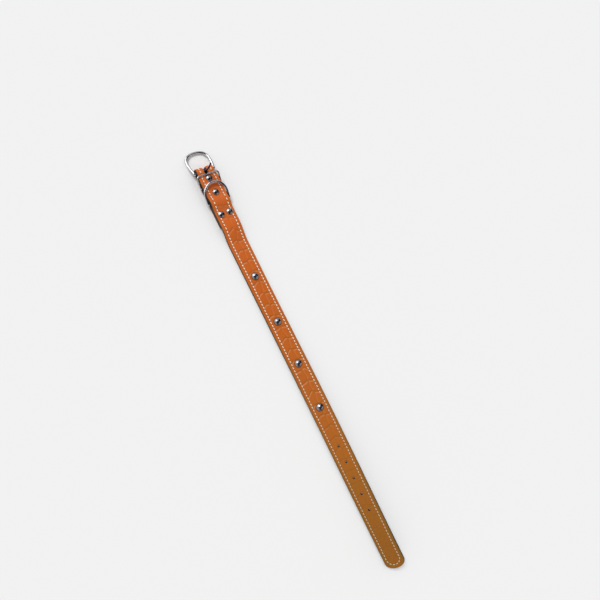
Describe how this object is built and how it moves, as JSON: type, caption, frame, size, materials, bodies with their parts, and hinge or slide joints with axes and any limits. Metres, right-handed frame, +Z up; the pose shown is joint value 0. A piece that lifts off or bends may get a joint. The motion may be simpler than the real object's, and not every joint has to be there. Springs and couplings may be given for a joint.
{
  "type": "dog collar",
  "caption": "Orange crocodile-embossed leather dog collar with a black lining, lying open, with wire buckle, keeper loop, D-ring and domed studs.",
  "frame": {"origin": "middle of the bounding box's base, on the surface that the collar lies on", "axes": "+X from the buckle to the free end, +Y across the strap, +Z up out of the orange face"},
  "size_m": [0.5575, 0.0334, 0.0352],
  "materials": {
    "cover": "embossed, satin",
    "lining": "matt",
    "wire": "polished",
    "prong": "dark, satin",
    "studs": "polished dark nickel"
  },
  "bodies": {
    "strap": {"strap_cover": "cover", "strap_lining": "lining", "rivet_a": "studs", "rivet_b": "studs", "rivet_c": "studs", "rivet_d": "studs", "stud_1": "studs", "stud_2": "studs", "stud_3": "studs", "stud_4": "studs"},
    "frame": {"buckle_frame": "wire"},
    "prong": {"buckle_prong": "prong"},
    "keeper": {"keeper_loop": "wire"},
    "ring": {"d_ring": "wire"}
  },
  "joints": [
    {"name": "frame_swing", "type": "hinge", "parent": "strap", "child": "frame", "pos_m": [-0.25058, 0, 0.0067], "axis": [0, 1, 0], "range_deg": [-70, 95]},
    {"name": "prong_swing", "type": "hinge", "parent": "strap", "child": "prong", "pos_m": [-0.25058, 0, 0.0067], "axis": [0, 1, 0], "range_deg": [-90, 15]},
    {"name": "keeper_swing", "type": "hinge", "parent": "strap", "child": "keeper", "pos_m": [-0.23168, 0, 0.006], "axis": [0, 1, 0], "range_deg": [0, 60]},
    {"name": "ring_swing", "type": "hinge", "parent": "strap", "child": "ring", "pos_m": [-0.21068, 0, 0.0065], "axis": [0, 1, 0], "range_deg": [0, 130]}
  ]
}
